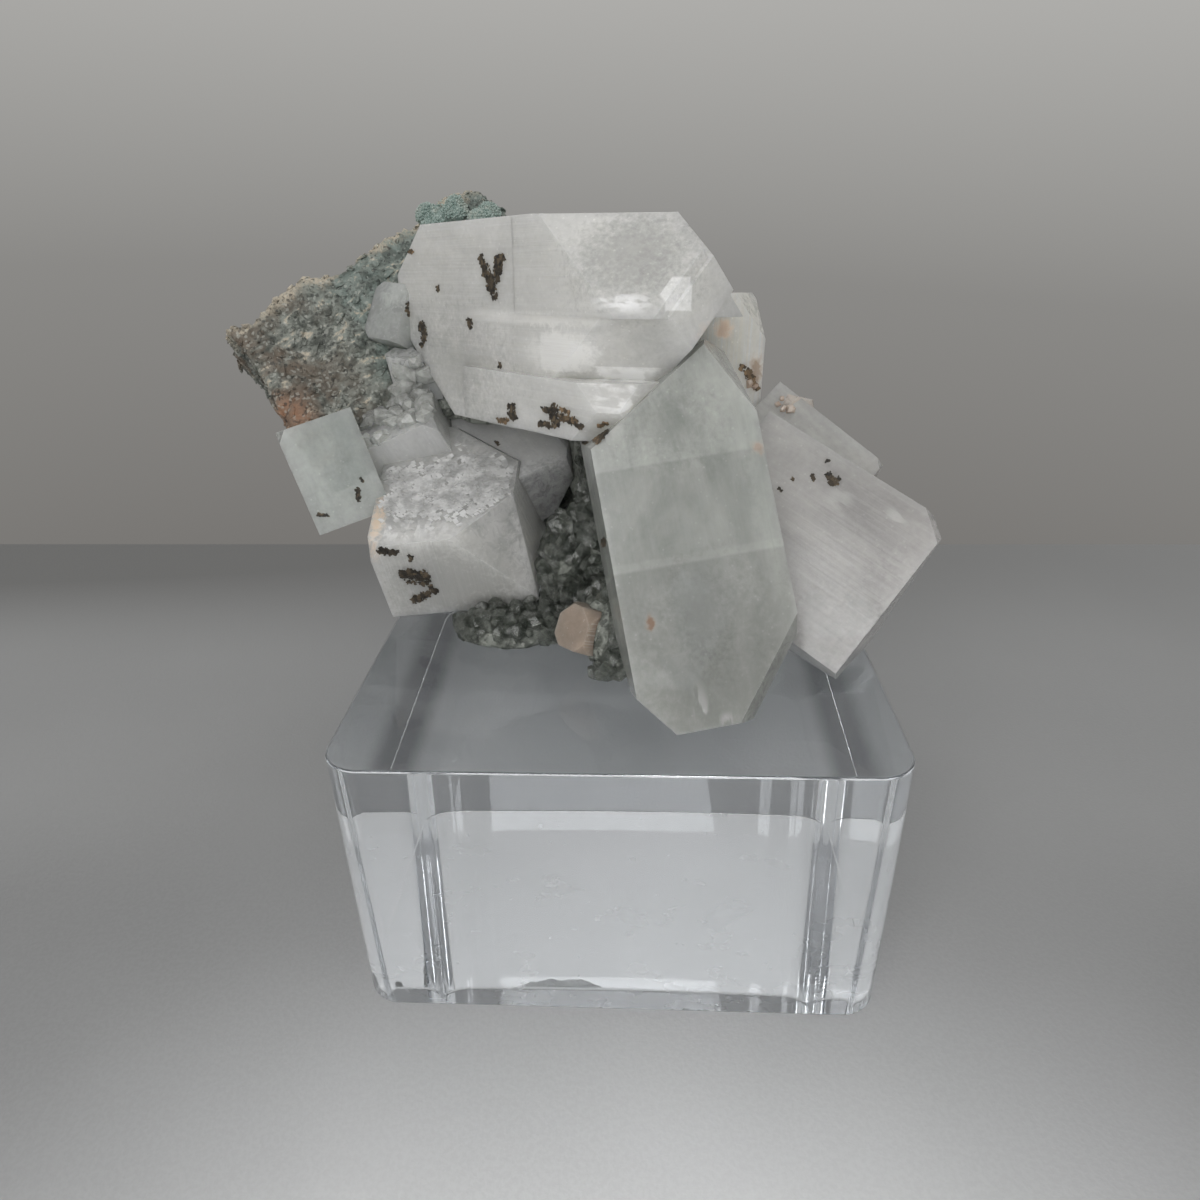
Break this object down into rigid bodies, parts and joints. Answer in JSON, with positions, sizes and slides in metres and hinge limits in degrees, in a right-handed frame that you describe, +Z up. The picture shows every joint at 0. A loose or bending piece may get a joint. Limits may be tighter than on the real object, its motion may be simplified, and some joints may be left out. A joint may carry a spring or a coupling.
{
  "type": "apophyllite specimen on a display block",
  "caption": "Cluster of blocky, milky square-prism crystals grown on dark basalt, resting on a clear rectangular display block.",
  "frame": {"origin": "centre of the display block's underside", "axes": "+Z up, -Y towards the front, where the long crystal hangs over the block's front edge; +X to the right seen from the front"},
  "size_m": [0.1052, 0.0949, 0.0984],
  "materials": {
    "acrylic": "polished, clear",
    "apophyllite": "glassy to pearly, milky",
    "apophyllite_grey": "glassy, grey",
    "stilbite": "silky",
    "basalt": "rough, broken"
  },
  "bodies": {
    "root": {"display_block": "acrylic", "main_crystals": "apophyllite", "left_crystals": "apophyllite", "grey_crystal": "apophyllite_grey", "peach_crystal": "stilbite", "basalt_matrix": "basalt"}
  },
  "joints": []
}
